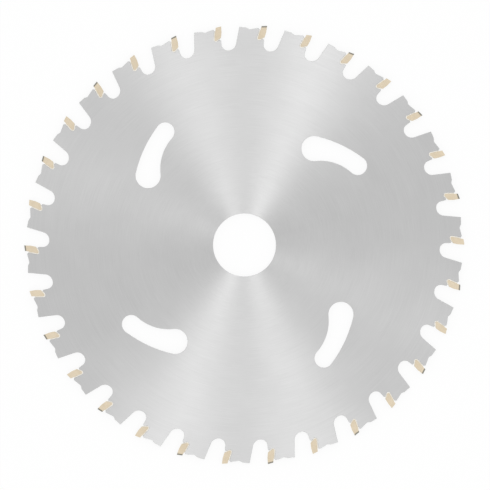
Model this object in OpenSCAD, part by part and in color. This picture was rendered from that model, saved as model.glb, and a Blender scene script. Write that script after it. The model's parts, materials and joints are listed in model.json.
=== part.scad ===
// Carbide-tipped circular saw blade, lying flat with its axis on Z.
// It cuts clockwise seen from above: each gullet lies clockwise of its tip.
// Tooth shapes are drawn in one tooth's own frame, with Y out along the radius
// through its cutting edge and X forward, in the direction of the cut.

/* [Blade] */
// Diameter of the cutting circle, which the high tips run on
blade_d = 210; // [190:1:260]
// Diameter of the arbor bore
bore_d = 30; // [16:0.5:60]
// Thickness of the steel plate
plate_t = 1.8; // [1.2:0.1:2.2]
// Width of the cut that the tips make
kerf = 2.8; // [2.6:0.1:3.6]
// Number of teeth, even so that low and high tips take turns
tooth_count = 30; // [20:2:34]

/* [Gullets] */
// Depth of a gullet below the cutting circle
gullet_depth = 11.97; // [10.5:0.01:16]
// Radius of a gullet below its own tip
gullet_face_r = 3.04; // [2.4:0.01:3.6]
// Radius of a gullet below the back of the tooth ahead
gullet_back_r = 3.86; // [3.2:0.01:4.6]
// Flat between the two radii at the bottom of a gullet
gullet_floor_w = 0.2; // [0.2:0.05:1.5]
// Lean of the gullet's far wall from the radius
gullet_back_lean = 17.1; // [12:0.1:24]
// Set-back of the steel below a tip from the radius
gullet_face_setback = 0.73; // [0.5:0.01:1]

/* [Shoulders] */
// Depth of the shoulder's corner behind a tip below the cutting circle
shoulder_drop = 1.15; // [0.8:0.05:1.5]
// Chamfer that takes that corner off, along the shoulder and along the seat
shoulder_chamfer = 0.9; // [0.5:0.05:1.2]
// Fall of the shoulder away from its corner
shoulder_fall = 15; // [13:0.5:18]
// Distance of the dip behind the cutting edge
dip_back = 8.12; // [7.4:0.01:9]
// Radius in the dip
dip_r = 1.5; // [0.8:0.1:2.4]
// Rise from the dip to the hump
hump_rise = 23; // [18:0.5:32]
// Depth of the hump's flat below the cutting circle
hump_drop = 1.8; // [1.5:0.05:2.1]

/* [Tips] */
// Height of a high tip's front
tip_h = 5.46; // [4.8:0.01:6.4]
// Thickness of a tip, square to its seat
tip_t = 2.95; // [2.4:0.05:3.6]
// Height of a high tip's ground rake face
face_h = 3; // [1.8:0.1:3.9]
// Hook angle of the ground rake face
face_hook = 2; // [0:0.5:8]
// Lean of the seat, and of the tip's lower front and back
seat_lean = 11.5; // [8:0.5:16]
// Slope of the tip's floor, down to the back
floor_slope = 29; // [20:0.5:36]
// Radius of the heel, at the foot of the tip's back
heel_r = 0.6; // [0.3:0.05:0.9]
// Relief angle of the tip's top
top_relief = 9; // [5:0.5:15]
// Drop of the flat tips below the high ones
tip_step = 0.2; // [0.1:0.05:0.4]
// Width of the chamfer on each corner of a high tip, across the cut
corner_w = 0.75; // [0.4:0.05:0.95]
// Angle of that chamfer down from the tip's top
corner_angle = 45; // [30:1:55]
// Taper of each side of the tip towards the hub
radial_taper = 1; // [0.5:0.1:2]
// Taper of each side of the tip towards its back
side_taper = 2; // [1:0.1:3]

/* [Braze] */
// Thickness of the braze between a tip and its seat
braze_t = 0.45; // [0.2:0.05:0.6]
// Distance by which the braze stops short of the shoulder's chamfer
braze_setback = 0.1; // [0.1:0.05:0.8]
// Chamfer on the lip of steel below a tip
lip_chamfer = 0.7; // [0.3:0.05:0.9]

/* [Slots] */
// Number of kidney slots
slot_count = 4; // [2:1:5]
// Angle of the first slot's narrow end from the first cutting edge
slot_start = 34.9; // [20:0.1:50]
// Angle from the narrow end of a slot to its wide end
slot_span = 19.25; // [14:0.05:26]
// Distance of the wide end from the axis
slot_wide_at = 56.64; // [50:0.01:64]
// Radius of the wide end
slot_wide_r = 5.98; // [5:0.01:8]
// Distance of the narrow end from the axis
slot_narrow_at = 65.91; // [60:0.01:74]
// Radius of the narrow end
slot_narrow_r = 4.44; // [3:0.01:6]
// Radius of the slot's outer side
slot_outer_r = 60.23; // [48:0.01:75]
// Radius of the slot's inner side
slot_inner_r = 22.14; // [18:0.01:34]

/* [Hidden] */
// Lap of an arc over the line that runs into it
blend_lap = 0.003;
// How far a cutting shape runs past what it cuts
over = 4;
// Finish of the curves
$fn = 96;

blade_r = blade_d / 2;
pitch = 360 / tooth_count;

function two_digits(n) = str(n < 10 ? "0" : "", n);
function tip_name(k) = str("tip_", two_digits(k + 1));

// Helpers for points and lines in the plane

function unit(v) = v / norm(v);
function left_of(v) = [-v.y, v.x];
function cross_z(a, b) = a.x * b.y - a.y * b.x;
// Direction that leans forward by an angle from the radius
function leaning(a) = [sin(a), cos(a)];
// Point where the line through p along u meets the line through q along v
function meet(p, u, q, v) = p + u * cross_z(q - p, v) / cross_z(u, v);
// Point at distance a from p and b from q, on the right of the way from p to q
function apart(p, a, q, b) =
    let (d = norm(q - p), x = (d * d + a * a - b * b) / (2 * d))
    p + unit(q - p) * x - left_of(unit(q - p)) * sqrt(a * a - x * x);
function turned(p, a) = [p.x * cos(a) - p.y * sin(a), p.x * sin(a) + p.y * cos(a)];
// Centre of an arc of radius r that rounds the corner c between directions u and v
function round_centre(c, u, v, r) =
    let (w = unit(unit(u) + unit(v)), s = abs(cross_z(unit(u), w)))
    c + w * r / s;
// Foot of the square from a point to the line through p along u
function foot(c, p, u) = p + unit(u) * ((c - p) * unit(u));

// Outline of a tip

seat_dir = leaning(seat_lean);
back_step = left_of(seat_dir);
floor_dir = [-cos(floor_slope), -sin(floor_slope)];
floor_step = left_of(floor_dir);

edge_point = [0, blade_r];
face_dir = leaning(face_hook);
face_foot = edge_point - face_dir * (face_h / cos(face_hook));
tip_front = face_foot - seat_dir * ((tip_h - face_h) / cos(seat_lean));
tip_back = tip_front + back_step * tip_t;
tip_heel = meet(tip_back, seat_dir, tip_front, floor_dir);
heel_centre = round_centre(tip_heel, seat_dir, -floor_dir, heel_r);

// Seat of the tip, one layer of braze behind it and below it

seat_back = tip_back + back_step * braze_t;
seat_floor = tip_front + floor_step * braze_t;
seat_r = heel_r + braze_t;
seat_wall_foot = foot(heel_centre, seat_back, seat_dir);
seat_floor_foot = foot(heel_centre, seat_floor, floor_dir);

// Outline of the steel

lip_x = -gullet_face_setback;
lip_corner = meet(seat_floor, floor_dir, [lip_x, 0], [0, 1]);
lip_top = lip_corner + floor_dir * lip_chamfer;
lip_foot = lip_corner - [0, lip_chamfer];

gullet_y = blade_r - gullet_depth;
face_centre = [lip_x + gullet_face_r, gullet_y + gullet_face_r];
back_centre = [face_centre.x + gullet_floor_w, gullet_y + gullet_back_r];
far_dir = leaning(gullet_back_lean);
far_foot = back_centre - left_of(far_dir) * gullet_back_r;

shoulder_corner = meet(seat_back, seat_dir, [0, blade_r - shoulder_drop], [1, 0]);
fall_dir = [-cos(shoulder_fall), -sin(shoulder_fall)];
rise_dir = [-cos(hump_rise), sin(hump_rise)];
dip = meet(shoulder_corner, fall_dir, [-dip_back, 0], [0, 1]);
dip_centre = round_centre(dip, -fall_dir, rise_dir, dip_r);
hump_start = meet(dip, rise_dir, [0, blade_r - hump_drop], [1, 0]);
heel_foot = turned(far_foot, pitch);
hump_end = meet([0, blade_r - hump_drop], [1, 0], heel_foot, turned(far_dir, pitch));

// One tooth, from the foot of its heel forward to the floor of its gullet
tooth_outline = [
    heel_foot,
    hump_end,
    hump_start,
    foot(dip_centre, dip, rise_dir),
    foot(dip_centre, dip, fall_dir),
    shoulder_corner + fall_dir * shoulder_chamfer,
    shoulder_corner - seat_dir * shoulder_chamfer,
    seat_wall_foot,
    seat_floor_foot,
    lip_top,
    lip_foot,
    [lip_x, face_centre.y],
    [face_centre.x, gullet_y],
    [back_centre.x, gullet_y],
];

// Turns its children out along the radius of tooth k
module at_tooth(k) {
    rotate(k * pitch - 90)
        children();
}

// Rounded inner corner of the seat
module seat_round() {
    translate(heel_centre)
        circle(seat_r + blend_lap);
}

// Rounds of the gullet, below its own tip and below the tooth ahead
module gullet_rounds() {
    translate(face_centre)
        circle(gullet_face_r + blend_lap);
    intersection() {
        translate(back_centre)
            circle(gullet_back_r + blend_lap);
        translate([face_centre.x, gullet_y - over])
            square(gullet_back_r + over);
    }
}

// Ends and side arcs of the first kidney slot
slot_narrow = turned([slot_narrow_at, 0], slot_start);
slot_wide = turned([slot_wide_at, 0], slot_start + slot_span);
slot_outer = apart(slot_wide, slot_outer_r - slot_wide_r, slot_narrow, slot_outer_r - slot_narrow_r);
slot_inner = apart(slot_wide, slot_inner_r + slot_wide_r, slot_narrow, slot_inner_r + slot_narrow_r);

module slot_outline() {
    translate(slot_wide)
        circle(slot_wide_r + blend_lap);
    translate(slot_narrow)
        circle(slot_narrow_r + blend_lap);
    difference() {
        intersection() {
            polygon([
                slot_inner,
                slot_narrow,
                slot_outer + unit(slot_narrow - slot_outer) * (slot_outer_r + over),
                slot_outer + unit(slot_wide - slot_outer) * (slot_outer_r + over),
                slot_wide,
            ]);
            translate(slot_outer)
                circle(slot_outer_r);
        }
        translate(slot_inner)
            circle(slot_inner_r);
    }
}

// Waste outside the round of a tip's heel
module heel_waste() {
    difference() {
        polygon([
            heel_centre,
            foot(heel_centre, tip_back, seat_dir),
            tip_heel + unit(tip_heel - heel_centre) * over,
            foot(heel_centre, tip_front, floor_dir),
        ]);
        translate(heel_centre)
            circle(heel_r + blend_lap);
    }
}

// Side of a tip before its top is ground, so it stands past the cutting circle
module tip_outline() {
    difference() {
        polygon([
            edge_point + face_dir * over,
            face_foot,
            tip_front,
            tip_heel,
            meet(tip_back, seat_dir, edge_point + face_dir * over, [1, 0]),
        ]);
        heel_waste();
    }
}

// Steel cut away for a tip and its braze, up to the top of the braze
module braze_outline() {
    braze_top = shoulder_corner - seat_dir * (shoulder_chamfer + braze_setback);
    polygon([
        braze_top,
        seat_wall_foot,
        seat_floor_foot,
        lip_top,
        tip_front,
        meet(tip_back, seat_dir, braze_top, back_step) - back_step * tip_t / 2,
    ]);
    seat_round();
}

// Places a half-space beyond a ground face, a drop below the cutting circle and
// aside from the middle of the cut, and turns it by the face's angles
module ground_away(drop, aside, angles) {
    translate([edge_point.x, edge_point.y - drop, aside])
        rotate(angles)
            children();
}

// Half-spaces out from the hub, and up from the plate
module outward() {
    block = 4 * tip_h;
    translate([-block, 0, -block])
        cube([2 * block, block, 2 * block]);
}

module upward() {
    block = 4 * tip_h;
    translate([-block, -block, 0])
        cube([2 * block, 2 * block, block]);
}

// High tip with both its corners chamfered, or flat tip a step lower
module ground_tip(high) {
    drop = high ? 0 : tip_step;
    difference() {
        linear_extrude(kerf + over, center = true)
            tip_outline();
        ground_away(drop, 0, [0, 0, top_relief])
            outward();
        for (side = [0, 1])
            mirror([0, 0, side]) {
                if (high)
                    ground_away(drop, kerf / 2 - corner_w, [corner_angle, 0, top_relief])
                        outward();
                ground_away(drop, kerf / 2, [radial_taper, -side_taper, 0])
                    upward();
            }
    }
}

module blade_body() {
    color([0.80, 0.80, 0.80])
        linear_extrude(plate_t, center = true)
            difference() {
                polygon([for (k = [tooth_count - 1:-1:0], p = tooth_outline) turned(p, k * pitch - 90)]);
                circle(bore_d / 2);
                for (k = [0:tooth_count - 1])
                    at_tooth(k) {
                        gullet_rounds();
                        seat_round();
                        translate(dip_centre)
                            circle(dip_r + blend_lap);
                    }
                for (k = [0:slot_count - 1])
                    rotate(k * 360 / slot_count)
                        slot_outline();
            }
}

module braze_joints() {
    color([0.93, 0.92, 0.88])
        for (k = [0:tooth_count - 1])
            at_tooth(k)
                linear_extrude(plate_t, center = true)
                    difference() {
                        braze_outline();
                        tip_outline();
                    }
}

// Tip k, every second one high
module tip(k) {
    color([0.88, 0.82, 0.71])
        at_tooth(k)
            ground_tip(k % 2 == 1);
}

blade_body();
braze_joints();
for (k = [0:tooth_count - 1])
    tip(k);
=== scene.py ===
import json
import math

import bpy
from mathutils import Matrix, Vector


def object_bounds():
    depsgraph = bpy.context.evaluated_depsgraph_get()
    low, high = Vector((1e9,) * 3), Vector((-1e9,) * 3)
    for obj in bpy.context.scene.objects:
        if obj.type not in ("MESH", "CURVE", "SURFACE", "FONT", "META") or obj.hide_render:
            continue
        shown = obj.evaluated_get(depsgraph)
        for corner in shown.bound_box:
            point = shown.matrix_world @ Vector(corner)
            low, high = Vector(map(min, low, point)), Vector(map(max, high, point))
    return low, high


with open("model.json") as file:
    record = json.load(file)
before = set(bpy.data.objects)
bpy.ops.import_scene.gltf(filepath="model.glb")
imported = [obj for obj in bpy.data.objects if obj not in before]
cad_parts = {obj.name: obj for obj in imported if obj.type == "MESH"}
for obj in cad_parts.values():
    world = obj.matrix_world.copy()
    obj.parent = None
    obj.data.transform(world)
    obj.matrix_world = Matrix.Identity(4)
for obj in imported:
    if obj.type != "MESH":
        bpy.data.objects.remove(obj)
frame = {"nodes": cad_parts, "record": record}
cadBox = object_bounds()
scene = bpy.context.scene
tipNames = sorted(n for n in frame["nodes"] if n.startswith("tip_"))
boreMount = next(m for m in frame["record"]["mounts"] if m["kind"] == "bore")
boreRadius = boreMount["dims"]["r_mm"] / 1000
print("blade frame loaded:", len(frame["nodes"]), "nodes,", len(tipNames), "tips")


# camera straight above the blade
cameraSetup = {
    "viewWidth": 0.23355,    # metres of blade plane across the square picture
    "distance": 8.0,
    "sensor": 36.0,
    "aside": 0.00024,        # the blade sits half a pixel left of centre
    "roll": -0.105,          # degrees, the blade lies turned this little in the picture
}


def makeCamera(setup):
    data = bpy.data.cameras.new("bladeCamera")
    data.sensor_fit = "HORIZONTAL"
    data.sensor_width = setup["sensor"]
    data.lens = setup["sensor"] * setup["distance"] / setup["viewWidth"]
    cam = bpy.data.objects.new("bladeCamera", data)
    cam.location = (setup["aside"], 0.0, setup["distance"])
    cam.rotation_euler = (0.0, 0.0, math.radians(setup["roll"]))
    scene.collection.objects.link(cam)
    scene.camera = cam


makeCamera(cameraSetup)
print("camera set")


# small helpers for node trees
def feed(tree, socket, value):    # link another socket, or set a number, vector or colour
    if isinstance(value, bpy.types.NodeSocket):
        tree.links.new(value, socket)
    elif socket.type == "RGBA":
        socket.default_value = (*value, 1.0)
    else:
        socket.default_value = value


def mathNode(tree, operation, *values):
    node = tree.nodes.new("ShaderNodeMath")
    node.operation = operation
    for socket, value in zip(node.inputs, values):
        feed(tree, socket, value)
    return node.outputs[0]


# where a Mix node keeps its mask, first, second and result for each kind
mixSlots = {"FLOAT": (0, 2, 3, 0), "RGBA": (0, 6, 7, 2)}


def mixNode(tree, kind, *values):
    node = tree.nodes.new("ShaderNodeMix")
    node.data_type = kind
    *slots, result = mixSlots[kind]
    for slot, value in zip(slots, values):
        feed(tree, node.inputs[slot], value)
    return node.outputs[result]


def mixColour(tree, mask, first, second):
    return mixNode(tree, "RGBA", mask, first, second)


def mixValue(tree, mask, first, second):
    return mixNode(tree, "FLOAT", mask, first, second)


def mapRange(tree, kind, value, before, after):
    node = tree.nodes.new("ShaderNodeMapRange")
    node.interpolation_type = kind
    for socket, given in zip(node.inputs, (value, *before, *after)):
        feed(tree, socket, given)
    return node.outputs[0]


def step(tree, value, span):      # a smooth 0 to 1 over the span
    return mapRange(tree, "SMOOTHSTEP", value, span, (0.0, 1.0))


def spread(tree, value, span):    # 0 to 1 laid out over the span
    return mapRange(tree, "LINEAR", value, (0.0, 1.0), span)


def noiseOf(tree, vector, scale, detail, roughness=0.5):
    node = tree.nodes.new("ShaderNodeTexNoise")
    feed(tree, node.inputs["Vector"], vector)
    feed(tree, node.inputs["Scale"], scale)
    feed(tree, node.inputs["Detail"], detail)
    feed(tree, node.inputs["Roughness"], roughness)
    return node.outputs[0]


def split(tree, vector):
    node = tree.nodes.new("ShaderNodeSeparateXYZ")
    feed(tree, node.inputs[0], vector)
    return node.outputs


def coordsOf(tree):
    return tree.nodes.new("ShaderNodeTexCoord").outputs


axisGap = 1e-5    # keeps a radius off zero at the bore's axis


def radiusOf(tree, x, y):
    square = mathNode(tree, "ADD", mathNode(tree, "MULTIPLY", x, x), mathNode(tree, "MULTIPLY", y, y))
    return mathNode(tree, "MAXIMUM", mathNode(tree, "SQRT", square), axisGap)


def newGroup(name, inputs, outputs):
    group = bpy.data.node_groups.new(name, "ShaderNodeTree")
    for socketName, (kind, value) in inputs.items():
        socket = group.interface.new_socket(socketName, in_out="INPUT", socket_type=kind)
        socket.default_value = value
    for socketName in outputs:
        group.interface.new_socket(socketName, in_out="OUTPUT", socket_type="NodeSocketFloat")
    given = group.nodes.new("NodeGroupInput").outputs
    out = group.nodes.new("NodeGroupOutput").inputs
    return group, given, out


def placeGroup(tree, group, values):
    node = tree.nodes.new("ShaderNodeGroup")
    node.node_tree = group
    for name, value in values.items():
        feed(tree, node.inputs[name], value)
    return node.outputs


def makeFaceGroup():
    # how flat a face lies with the plate, and how far it is from the bore's axis
    group, _, out = newGroup("facePlace", {}, ["Flat", "Radius"])
    coords = coordsOf(group)
    x, y, _ = split(group, coords["Object"])
    upward = split(group, coords["Normal"])[2]
    feed(group, out["Flat"], mathNode(group, "ABSOLUTE", upward))
    feed(group, out["Radius"], radiusOf(group, x, y))
    return group


ringNoise = {"detail": 3.0, "roughness": 0.6, "lineWidth": 1.0, "bandWidth": 0.12}


def makeGrindGroup(setup):
    # grinding lines that run round the bore and fade in and out along their length
    group, given, out = newGroup("grindLines", {
        "Lines per mm": ("NodeSocketFloat", 4.0),
        "Fade": ("NodeSocketFloat", 6.0),
    }, ["Lines", "Bands"])
    x, y, _ = split(group, coordsOf(group)["Object"])
    radius = radiusOf(group, x, y)
    radiusMm = mathNode(group, "MULTIPLY", radius, 1000.0)
    across = mathNode(group, "MULTIPLY", radiusMm, given["Lines per mm"])
    roundX = mathNode(group, "MULTIPLY", mathNode(group, "DIVIDE", x, radius), given["Fade"])
    roundY = mathNode(group, "MULTIPLY", mathNode(group, "DIVIDE", y, radius), given["Fade"])
    for result, width in (("Lines", setup["lineWidth"]), ("Bands", setup["bandWidth"])):
        vector = group.nodes.new("ShaderNodeCombineXYZ")
        feed(group, vector.inputs[0], mathNode(group, "MULTIPLY", across, width))
        feed(group, vector.inputs[1], roundX)
        feed(group, vector.inputs[2], roundY)
        rings = noiseOf(group, vector.outputs[0], 1.0, setup["detail"], setup["roughness"])
        feed(group, out[result], rings)
    return group


mottleNoise = {"patchDetail": 3.0, "grainDetail": 2.0}


def makeMottleGroup(setup):
    # slow, faint clouding and a fine grain
    group, given, out = newGroup("mottle", {
        "Patch per m": ("NodeSocketFloat", 60.0),
        "Grain per m": ("NodeSocketFloat", 4000.0),
    }, ["Patches", "Grain"])
    place = coordsOf(group)["Object"]
    feed(group, out["Patches"], noiseOf(group, place, given["Patch per m"], setup["patchDetail"]))
    feed(group, out["Grain"], noiseOf(group, place, given["Grain per m"], setup["grainDetail"]))
    return group


drawnDetail = 2.0


def makeDrawnGroup(detail):
    # fine straight lines: noise drawn out along an axis by a small scale there
    group, given, out = newGroup("drawnLines", {
        "Stretch": ("NodeSocketVector", (1.0, 1.0, 0.06)),
        "Lines per m": ("NodeSocketFloat", 5000.0),
    }, ["Lines"])
    stretched = group.nodes.new("ShaderNodeVectorMath")
    stretched.operation = "MULTIPLY"
    feed(group, stretched.inputs[0], coordsOf(group)["Object"])
    feed(group, stretched.inputs[1], given["Stretch"])
    feed(group, out["Lines"], noiseOf(group, stretched.outputs[0], given["Lines per m"], detail))
    return group


faceGroup = makeFaceGroup()
grindGroup = makeGrindGroup(ringNoise)
mottleGroup = makeMottleGroup(mottleNoise)
drawnGroup = makeDrawnGroup(drawnDetail)
print("shared effects built")


def newMaterial(name):
    material = bpy.data.materials.new(name)
    material.use_nodes = True
    tree = material.node_tree
    shader = next(n for n in tree.nodes if n.type == "BSDF_PRINCIPLED")
    return material, tree, shader


def bumpFrom(tree, shader, height, finish):
    bump = tree.nodes.new("ShaderNodeBump")
    feed(tree, bump.inputs["Strength"], finish["bump"])
    feed(tree, bump.inputs["Distance"], finish["bumpDepth"])
    feed(tree, bump.inputs["Height"], height)
    feed(tree, shader.inputs["Normal"], bump.outputs[0])


# plate steel: rotary ground faces, laser-cut walls, a reamed bore
steelFinish = {
    "face": (0.611, 0.611, 0.611),
    "faceDark": (0.553, 0.553, 0.553),
    "edge": (0.73, 0.73, 0.725),      # partly rubbed bright where the edges are broken, partly a painted highlight there
    "wall": (0.31, 0.306, 0.30),
    "wallDark": (0.235, 0.231, 0.225),
    "bore": (0.56, 0.56, 0.555),
    "boreDark": (0.45, 0.45, 0.445),
    "rough": (0.395, 0.425),
    "wallRough": 0.5,
    "metal": 1.0,
    "anisotropy": 0.956,
    "turn": 0.25,                     # a quarter turn: the lines run round the bore
    "grind": {"Lines per mm": 8.0, "Fade": 5.0},
    "clouds": {"Patch per m": 45.0},
    "laser": {"Stretch": (1.0, 1.0, 0.06), "Lines per m": 7000.0},    # lines through the plate
    "ream": {"Stretch": (0.05, 0.05, 1.0), "Lines per m": 9000.0},    # lines round the bore
    "cloudShare": 0.3,
    "faceSpan": (0.3, 0.7),           # of the noise, dark to pale
    "wallSpan": (0.35, 0.65),
    "wallToGround": (0.15, 0.4),      # of how flat a face lies
    "edgeToFace": (0.9, 0.99),
    "boreToCut": (1.05, 1.15),        # of the bore's radius
    "bump": 0.15,
    "bumpDepth": 0.00001,
    "edgeWidth": 0.00012,             # broken after cutting
}


def makeSteel(finish):
    material, tree, shader = newMaterial("groundSteel")
    faces = placeGroup(tree, faceGroup, {})
    grind = placeGroup(tree, grindGroup, finish["grind"])
    clouds = placeGroup(tree, mottleGroup, finish["clouds"])
    laser = placeGroup(tree, drawnGroup, finish["laser"])
    ream = placeGroup(tree, drawnGroup, finish["ream"])
    ground = step(tree, faces["Flat"], finish["wallToGround"])
    # the bevel faces of the broken edges, picked by how they tilt, are made paler: partly rubbed
    # wear, partly a painted highlight
    edgeWearAndHighlightMask = mathNode(tree, "SUBTRACT", ground, step(tree, faces["Flat"], finish["edgeToFace"]))
    cut = step(tree, faces["Radius"], [boreRadius * reach for reach in finish["boreToCut"]])

    shade = mixValue(tree, finish["cloudShare"], grind["Lines"], clouds["Patches"])
    faceShade = step(tree, shade, finish["faceSpan"])
    faceColour = mixColour(tree, faceShade, finish["faceDark"], finish["face"])
    cutShade = step(tree, laser["Lines"], finish["wallSpan"])
    cutColour = mixColour(tree, cutShade, finish["wallDark"], finish["wall"])
    boreShade = step(tree, ream["Lines"], finish["wallSpan"])
    boreColour = mixColour(tree, boreShade, finish["boreDark"], finish["bore"])
    wallColour = mixColour(tree, cut, boreColour, cutColour)
    # painted highlight, partly wear: the pale edge colour goes onto the bevel faces
    groundColour = mixColour(tree, edgeWearAndHighlightMask, faceColour, finish["edge"])
    feed(tree, shader.inputs["Base Color"], mixColour(tree, ground, wallColour, groundColour))

    faceRough = spread(tree, grind["Bands"], finish["rough"])
    feed(tree, shader.inputs["Roughness"], mixValue(tree, ground, finish["wallRough"], faceRough))
    wallLines = mixValue(tree, cut, ream["Lines"], laser["Lines"])
    bumpFrom(tree, shader, mixValue(tree, ground, wallLines, grind["Lines"]), finish)

    tangent = tree.nodes.new("ShaderNodeTangent")
    tangent.direction_type = "RADIAL"
    tangent.axis = "Z"
    feed(tree, shader.inputs["Tangent"], tangent.outputs[0])
    feed(tree, shader.inputs["Metallic"], finish["metal"])
    feed(tree, shader.inputs["Anisotropic"], finish["anisotropy"])
    feed(tree, shader.inputs["Anisotropic Rotation"], finish["turn"])
    return material


# carbide: tan side faces, grey ground top and rake, corner chamfers painted dark as shade
carbideFinish = {
    "side": (0.638, 0.552, 0.422),
    "sideDark": (0.577, 0.493, 0.366),
    # painted shade: the corner chamfers are coloured darker than the other ground faces, standing in
    # for the dark they reflect
    "corner": (0.25, 0.235, 0.195),
    "cornerPale": (0.305, 0.288, 0.238),
    "upright": (0.33, 0.315, 0.275),
    "uprightPale": (0.41, 0.395, 0.35),
    "rough": (0.40, 0.52),
    "metal": 0.75,
    "grind": {"Lines per mm": 16.0, "Fade": 12.0},
    "clouds": {"Patch per m": 350.0},
    "across": {"Stretch": (0.05, 0.05, 1.0), "Lines per m": 22000.0},    # lines level with the plate
    "cloudShare": 0.5,
    "shadeSpan": (0.3, 0.7),          # of the noise, dark to pale
    "uprightToCorner": (0.3, 0.5),    # of how flat a face lies
    "cornerToSide": (0.8, 0.95),
    "bump": 0.12,
    "bumpDepth": 0.00001,
}


def makeCarbide(finish):
    material, tree, shader = newMaterial("tippedCarbide")
    faces = placeGroup(tree, faceGroup, {})
    grind = placeGroup(tree, grindGroup, finish["grind"])
    clouds = placeGroup(tree, mottleGroup, finish["clouds"])
    across = placeGroup(tree, drawnGroup, finish["across"])
    # painted shade: the chamfers are picked out by how they tilt and given the dark colour
    corner = step(tree, faces["Flat"], finish["uprightToCorner"])
    side = step(tree, faces["Flat"], finish["cornerToSide"])

    shade = mixValue(tree, finish["cloudShare"], grind["Lines"], clouds["Patches"])
    sideShade = step(tree, shade, finish["shadeSpan"])
    sideColour = mixColour(tree, sideShade, finish["sideDark"], finish["side"])
    groundShade = step(tree, across["Lines"], finish["shadeSpan"])
    cornerColour = mixColour(tree, groundShade, finish["corner"], finish["cornerPale"])
    uprightColour = mixColour(tree, groundShade, finish["upright"], finish["uprightPale"])
    groundColour = mixColour(tree, corner, uprightColour, cornerColour)
    feed(tree, shader.inputs["Base Color"], mixColour(tree, side, groundColour, sideColour))

    lines = mixValue(tree, side, across["Lines"], grind["Lines"])
    feed(tree, shader.inputs["Roughness"], spread(tree, lines, finish["rough"]))
    bumpFrom(tree, shader, lines, finish)
    feed(tree, shader.inputs["Metallic"], finish["metal"])
    return material


# silver braze: pale, satin, a little lumpy
brazeFinish = {
    "pale": (0.785, 0.755, 0.695),
    "dull": (0.69, 0.655, 0.585),
    "rough": (0.3, 0.5),
    "metal": 1.0,
    "lumps": {"Patch per m": 900.0, "Grain per m": 6000.0},
    "paleSpan": (0.35, 0.65),    # of the lumps, dull to pale
    "bump": 0.5,
    "bumpDepth": 0.00004,
    "edgeWidth": 0.00005,        # it has set with soft edges
}


def makeBraze(finish):
    material, tree, shader = newMaterial("silverBraze")
    lumps = placeGroup(tree, mottleGroup, finish["lumps"])
    shade = step(tree, lumps["Patches"], finish["paleSpan"])
    feed(tree, shader.inputs["Base Color"], mixColour(tree, shade, finish["dull"], finish["pale"]))
    feed(tree, shader.inputs["Roughness"], spread(tree, lumps["Grain"], finish["rough"]))
    bumpFrom(tree, shader, lumps["Patches"], finish)
    feed(tree, shader.inputs["Metallic"], finish["metal"])
    return material


def dress(node, material):
    piece = frame["nodes"][node]
    piece.data.materials.clear()
    piece.data.materials.append(material)


# every edge sharper than this is broken, once seams are welded and flats joined
edgeBreak = {"segments": 2, "sharpAngle": 40.0, "seamGap": 1e-7, "flatAngle": 0.2}


def breakEdges(node, width, setup):
    piece = frame["nodes"][node]
    weld = piece.modifiers.new("weldSeams", "WELD")
    weld.merge_threshold = setup["seamGap"]
    flat = piece.modifiers.new("joinFlats", "DECIMATE")
    flat.decimate_type = "DISSOLVE"
    flat.angle_limit = math.radians(setup["flatAngle"])
    bevel = piece.modifiers.new("edgeBreak", "BEVEL")
    bevel.width = width
    bevel.segments = setup["segments"]
    bevel.limit_method = "ANGLE"
    bevel.angle_limit = math.radians(setup["sharpAngle"])
    piece.modifiers.new("evenShading", "WEIGHTED_NORMAL")


dress("blade_body", makeSteel(steelFinish))
breakEdges("blade_body", steelFinish["edgeWidth"], edgeBreak)
dress("braze_joints", makeBraze(brazeFinish))
breakEdges("braze_joints", brazeFinish["edgeWidth"], edgeBreak)
carbide = makeCarbide(carbideFinish)
for tipName in tipNames:
    dress(tipName, carbide)
print("finishes on")


# pale floor and room, both white to the camera and in the steel
stageSetup = {
    "floorSize": 6.0,
    "floorDrop": 0.00001,    # below the tips' lowest corners
    "floorTone": 0.95,
    "whiteShare": 0.88,      # the rest of the floor's look keeps the shadow
    "roomTone": 0.9,
    "white": (1.0, 1.0, 1.0),
}


def rayShown(tree):    # 1 for rays from the camera, mirrors and glass
    path = tree.nodes.new("ShaderNodeLightPath").outputs
    shown = mathNode(tree, "MAXIMUM", path["Is Camera Ray"], path["Is Glossy Ray"])
    return mathNode(tree, "MAXIMUM", shown, path["Is Transmission Ray"])


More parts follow.
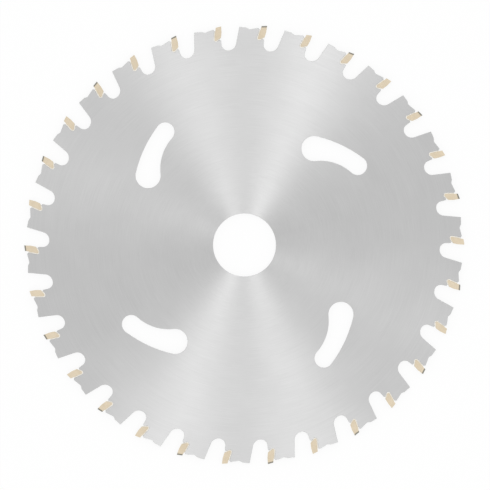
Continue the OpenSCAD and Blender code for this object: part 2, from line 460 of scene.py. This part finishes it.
def makeFloor(setup):
    half = setup["floorSize"] / 2
    level = cadBox[0].z - setup["floorDrop"]
    corners = [(-half, -half, level), (half, -half, level), (half, half, level), (-half, half, level)]
    mesh = bpy.data.meshes.new("floor")
    mesh.from_pydata(corners, [], [(0, 1, 2, 3)])
    floor = bpy.data.objects.new("floor", mesh)
    scene.collection.objects.link(floor)
    material, tree, shader = newMaterial("paleFloor")
    tree.nodes.remove(shader)
    matt = tree.nodes.new("ShaderNodeBsdfDiffuse")
    feed(tree, matt.inputs["Color"], (setup["floorTone"],) * 3)
    glow = tree.nodes.new("ShaderNodeEmission")
    feed(tree, glow.inputs["Color"], setup["white"])
    look = tree.nodes.new("ShaderNodeMixShader")
    share = mathNode(tree, "MULTIPLY", rayShown(tree), setup["whiteShare"])
    for socket, value in zip(look.inputs, (share, matt.outputs[0], glow.outputs[0])):
        feed(tree, socket, value)
    end = next(n for n in tree.nodes if n.type == "OUTPUT_MATERIAL")
    feed(tree, end.inputs["Surface"], look.outputs[0])
    mesh.materials.append(material)


def makeRoom(setup):
    world = bpy.data.worlds.new("paleRoom")
    scene.world = world
    world.use_nodes = True
    tree = world.node_tree
    sky = next(n for n in tree.nodes if n.type == "BACKGROUND")
    roomColour = mixColour(tree, rayShown(tree), (setup["roomTone"],) * 3, setup["white"])
    feed(tree, sky.inputs["Color"], roomColour)


# far soft lamps: each lays one bright streak across the ground plate, at its own azimuth
lampSetup = {
    "distance": 10.0,
    "lean": 20.0,    # degrees from straight up
    "size": 0.75,
    "lamps": [(68.5, 59.0), (288.0, 50.5), (157.0, 18.0)],    # azimuth, watts
}


def makeLamps(setup):
    lean = math.radians(setup["lean"])
    reach = setup["distance"] * math.sin(lean)
    height = setup["distance"] * math.cos(lean)
    for azimuth, watts in setup["lamps"]:
        data = bpy.data.lights.new("softLamp", "AREA")
        data.shape = "SQUARE"
        data.size = setup["size"]
        data.energy = watts
        lamp = bpy.data.objects.new("softLamp", data)
        turn = math.radians(azimuth)
        lamp.location = (reach * math.cos(turn), reach * math.sin(turn), height)
        lamp.rotation_euler = (lean, 0.0, turn + math.pi / 2)    # faces the blade
        scene.collection.objects.link(lamp)


makeFloor(stageSetup)
makeRoom(stageSetup)
makeLamps(lampSetup)
scene.view_settings.view_transform = "Standard"
print("stage lit")
